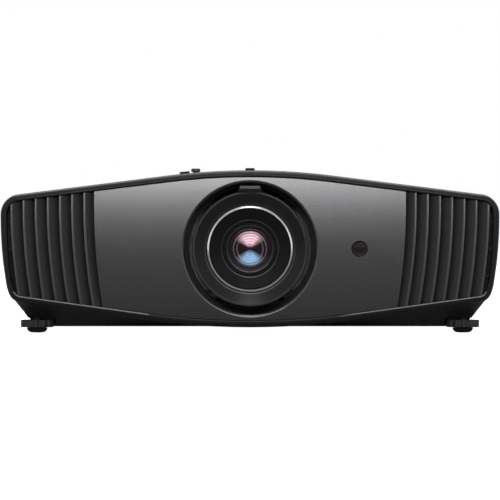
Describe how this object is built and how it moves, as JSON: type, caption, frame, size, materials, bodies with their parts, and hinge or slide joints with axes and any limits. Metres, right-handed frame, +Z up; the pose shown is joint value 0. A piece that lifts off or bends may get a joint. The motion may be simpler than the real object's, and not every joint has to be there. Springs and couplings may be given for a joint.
{
  "type": "home projector",
  "caption": "Wide, shallow home projector with louvred wings, a recessed zoom lens with focus and zoom rings, lens-shift dials under a sliding cover and screw-adjusted feet.",
  "frame": {"origin": "under the middle of the case, on the surface the foot pads stand on", "axes": "+X to the viewer's right when facing the lens, +Y from the lens to the rear, +Z up"},
  "size_m": [0.4934, 0.346, 0.1656],
  "materials": {
    "bezel_plastic": "satin dark grey paint, slightly brighter than the case",
    "board_green": "glass-fibre board with components",
    "brass": "plain brass",
    "case_plastic": "fine satin dark grey plastic with a faint metallic fleck",
    "cast_alloy": "cast alloy",
    "coated_glass": "multi-coated optical glass with pink and blue reflections",
    "fascia_paint": "grey metallic paint over plastic, satin",
    "fin_alloy": "plain extruded fins",
    "foot_plastic": "satin dark grey plastic, lobed rim",
    "inner_black": "matt black plastic",
    "key_plastic": "satin grey key caps",
    "lamp_housing": "heat-resistant moulded plastic",
    "lens_black": "matt black anodised look",
    "louvre_plastic": "semi-gloss black plastic",
    "panel_plastic": "satin dark grey plastic",
    "reflector_glass": "coated reflector glass",
    "ring_black": "satin black, fine ribbed grip",
    "rubber_black": "moulded rubber pad",
    "socket_metal": "nickel-plated shells",
    "steel": "zinc-plated steel",
    "trim_silver": "polished silver ring",
    "wheel_glass": "coated glass segments",
    "window_smoke": "dark infra-red filter plastic"
  },
  "bodies": {
    "chassis": {"bottom_tray": "case_plastic", "top_cover": "case_plastic", "front_frame": "bezel_plastic", "front_fascia": "fascia_paint", "louvre_left": "louvre_plastic", "louvre_right": "louvre_plastic", "lens_surround": "inner_black", "ir_window": "window_smoke", "rear_panel": "panel_plastic", "dial_well": "inner_black", "keypad_plate": "panel_plastic", "foot_inserts": "brass", "ceiling_inserts": "brass", "light_engine": "cast_alloy", "dmd_heatsink": "fin_alloy", "main_board": "board_green", "power_board": "board_green", "lamp_module": "lamp_housing", "lamp_burner": "reflector_glass", "fan_frames": "inner_black", "av_sockets": "socket_metal", "lan_port": "socket_metal", "serial_port": "socket_metal", "jack_sockets": "inner_black", "ac_inlet": "inner_black", "case_screws": "steel", "shift_base": "cast_alloy"},
    "sliding_cover": {"sliding_cover": "case_plastic"},
    "shift_carriage_sideways": {"h_carriage": "cast_alloy"},
    "shift_dial_sideways": {"h_dial": "key_plastic"},
    "shift_carriage_upright": {"v_carriage": "cast_alloy", "lens_barrel": "lens_black", "rear_lens": "coated_glass"},
    "shift_dial_upright": {"v_dial": "key_plastic"},
    "zoom_ring": {"zoom_ring": "ring_black"},
    "zoom_cell": {"zoom_cell": "lens_black", "zoom_lens": "coated_glass"},
    "focus_ring": {"focus_ring": "ring_black"},
    "front_cell": {"name_ring": "lens_black", "trim_ring": "trim_silver", "lens_retainer": "lens_black", "front_lens": "coated_glass"},
    "lamp_cover": {"lamp_cover": "case_plastic"},
    "colour_wheel": {"colour_wheel": "wheel_glass"},
    "fan_rotor_left": {"fan_rotor_left": "inner_black"},
    "fan_rotor_right": {"fan_rotor_right": "inner_black"},
    "power_button": {"power_button": "key_plastic"},
    "menu_key": {"menu_key": "key_plastic"},
    "source_key": {"source_key": "key_plastic"},
    "back_key": {"back_key": "key_plastic"},
    "stick_gimbal": {"stick_gimbal": "inner_black"},
    "stick": {"stick": "key_plastic"},
    "foot_wheel_front_right": {"foot_wheel_front_right": "foot_plastic"},
    "foot_pad_front_right": {"foot_pad_front_right": "rubber_black"},
    "foot_wheel_rear_right": {"foot_wheel_rear_right": "foot_plastic"},
    "foot_pad_rear_right": {"foot_pad_rear_right": "rubber_black"},
    "foot_wheel_front_left": {"foot_wheel_front_left": "foot_plastic"},
    "foot_pad_front_left": {"foot_pad_front_left": "rubber_black"},
    "foot_wheel_rear_left": {"foot_wheel_rear_left": "foot_plastic"},
    "foot_pad_rear_left": {"foot_pad_rear_left": "rubber_black"}
  },
  "joints": [
    {"name": "cover_slide", "type": "slide", "parent": "chassis", "child": "sliding_cover", "axis": [0, 1, 0], "range_m": [0, 0.054]},
    {"name": "dial_sideways", "type": "hinge", "parent": "chassis", "child": "shift_dial_sideways", "pos_m": [0.014, -0.058, 0.148], "axis": [1, 0, 0], "range_deg": [-215, 215]},
    {"name": "shift_sideways", "type": "slide", "parent": "chassis", "child": "shift_carriage_sideways", "axis": [1, 0, 0], "range_m": [-0.0024, 0.0024]},
    {"name": "dial_upright", "type": "hinge", "parent": "shift_carriage_sideways", "child": "shift_dial_upright", "pos_m": [-0.014, -0.0685, 0.152], "axis": [0, 0, 1], "range_deg": [-314, 314]},
    {"name": "shift_upright", "type": "slide", "parent": "shift_carriage_sideways", "child": "shift_carriage_upright", "axis": [0, 0, 1], "range_m": [-0.0035, 0.0035]},
    {"name": "zoom_turn", "type": "hinge", "parent": "shift_carriage_upright", "child": "zoom_ring", "pos_m": [0, -0.136, 0.0837], "axis": [0, 1, 0], "range_deg": [-22, 22]},
    {"name": "zoom_travel", "type": "slide", "parent": "shift_carriage_upright", "child": "zoom_cell", "axis": [0, 1, 0], "range_m": [-0.005, 0.005]},
    {"name": "focus_turn", "type": "hinge", "parent": "shift_carriage_upright", "child": "focus_ring", "pos_m": [0, -0.15, 0.0837], "axis": [0, 1, 0], "range_deg": [-60, 60]},
    {"name": "focus_travel", "type": "slide", "parent": "shift_carriage_upright", "child": "front_cell", "axis": [0, 1, 0], "range_m": [-0.0015, 0.0015]},
    {"name": "lamp_cover_slide", "type": "slide", "parent": "chassis", "child": "lamp_cover", "axis": [1, 0, 0], "range_m": [0, 0.03]},
    {"name": "wheel_spin", "type": "hinge", "parent": "chassis", "child": "colour_wheel", "pos_m": [0.1436, 0.06, 0.08], "axis": [1, 0, 0], "continuous": true},
    {"name": "fan_left_spin", "type": "hinge", "parent": "chassis", "child": "fan_rotor_left", "pos_m": [-0.195, -0.134, 0.087], "axis": [0, 1, 0], "continuous": true},
    {"name": "fan_right_spin", "type": "hinge", "parent": "chassis", "child": "fan_rotor_right", "pos_m": [0.195, -0.134, 0.087], "axis": [0, 1, 0], "continuous": true},
    {"name": "power_button_press", "type": "slide", "parent": "chassis", "child": "power_button", "axis": [0, 0, -1], "range_m": [0, 0.0009], "stiffness_N_per_m": 700, "springref_m": -0.0006},
    {"name": "menu_key_press", "type": "slide", "parent": "chassis", "child": "menu_key", "axis": [0, 0, -1], "range_m": [0, 0.0008], "stiffness_N_per_m": 600, "springref_m": -0.0006},
    {"name": "source_key_press", "type": "slide", "parent": "chassis", "child": "source_key", "axis": [0, 0, -1], "range_m": [0, 0.0008], "stiffness_N_per_m": 600, "springref_m": -0.0006},
    {"name": "back_key_press", "type": "slide", "parent": "chassis", "child": "back_key", "axis": [0, 0, -1], "range_m": [0, 0.0008], "stiffness_N_per_m": 600, "springref_m": -0.0006},
    {"name": "stick_lean_sideways", "type": "hinge", "parent": "chassis", "child": "stick_gimbal", "pos_m": [-0.0542, -0.133, 0.153], "axis": [0, 1, 0], "range_deg": [-6, 6], "stiffness_Nm_per_rad": 0.05},
    {"name": "stick_lean_forward", "type": "hinge", "parent": "stick_gimbal", "child": "stick", "pos_m": [-0.0542, -0.133, 0.153], "axis": [1, 0, 0], "range_deg": [-6, 6], "stiffness_Nm_per_rad": 0.05},
    {"name": "foot_front_right_height", "type": "slide", "parent": "chassis", "child": "foot_pad_front_right", "axis": [0, 0, -1], "range_m": [0, 0.012]},
    {"name": "foot_front_right_turn", "type": "hinge", "parent": "chassis", "child": "foot_wheel_front_right", "pos_m": [0.213, -0.127, 0.009], "axis": [0, 0, 1], "range_deg": [0, 1450]},
    {"name": "foot_rear_right_height", "type": "slide", "parent": "chassis", "child": "foot_pad_rear_right", "axis": [0, 0, -1], "range_m": [0, 0.012]},
    {"name": "foot_rear_right_turn", "type": "hinge", "parent": "chassis", "child": "foot_wheel_rear_right", "pos_m": [0.213, 0.128, 0.009], "axis": [0, 0, 1], "range_deg": [0, 1450]},
    {"name": "foot_front_left_height", "type": "slide", "parent": "chassis", "child": "foot_pad_front_left", "axis": [0, 0, -1], "range_m": [0, 0.012]},
    {"name": "foot_front_left_turn", "type": "hinge", "parent": "chassis", "child": "foot_wheel_front_left", "pos_m": [-0.213, -0.127, 0.009], "axis": [0, 0, 1], "range_deg": [0, 1450]},
    {"name": "foot_rear_left_height", "type": "slide", "parent": "chassis", "child": "foot_pad_rear_left", "axis": [0, 0, -1], "range_m": [0, 0.012]},
    {"name": "foot_rear_left_turn", "type": "hinge", "parent": "chassis", "child": "foot_wheel_rear_left", "pos_m": [-0.213, 0.128, 0.009], "axis": [0, 0, 1], "range_deg": [0, 1450]}
  ],
  "couplings": [
    {"joint": "dial_sideways", "follows": "shift_sideways", "rad_per_m": 1562.9},
    {"joint": "dial_upright", "follows": "shift_upright", "rad_per_m": 1562.9},
    {"joint": "zoom_travel", "follows": "zoom_turn", "m_per_rad": 0.013009},
    {"joint": "focus_travel", "follows": "focus_turn", "m_per_rad": 0.001431},
    {"joint": "foot_front_right_turn", "follows": "foot_front_right_height", "rad_per_m": 2094.4},
    {"joint": "foot_rear_right_turn", "follows": "foot_rear_right_height", "rad_per_m": 2094.4},
    {"joint": "foot_front_left_turn", "follows": "foot_front_left_height", "rad_per_m": 2094.4},
    {"joint": "foot_rear_left_turn", "follows": "foot_rear_left_height", "rad_per_m": 2094.4}
  ]
}
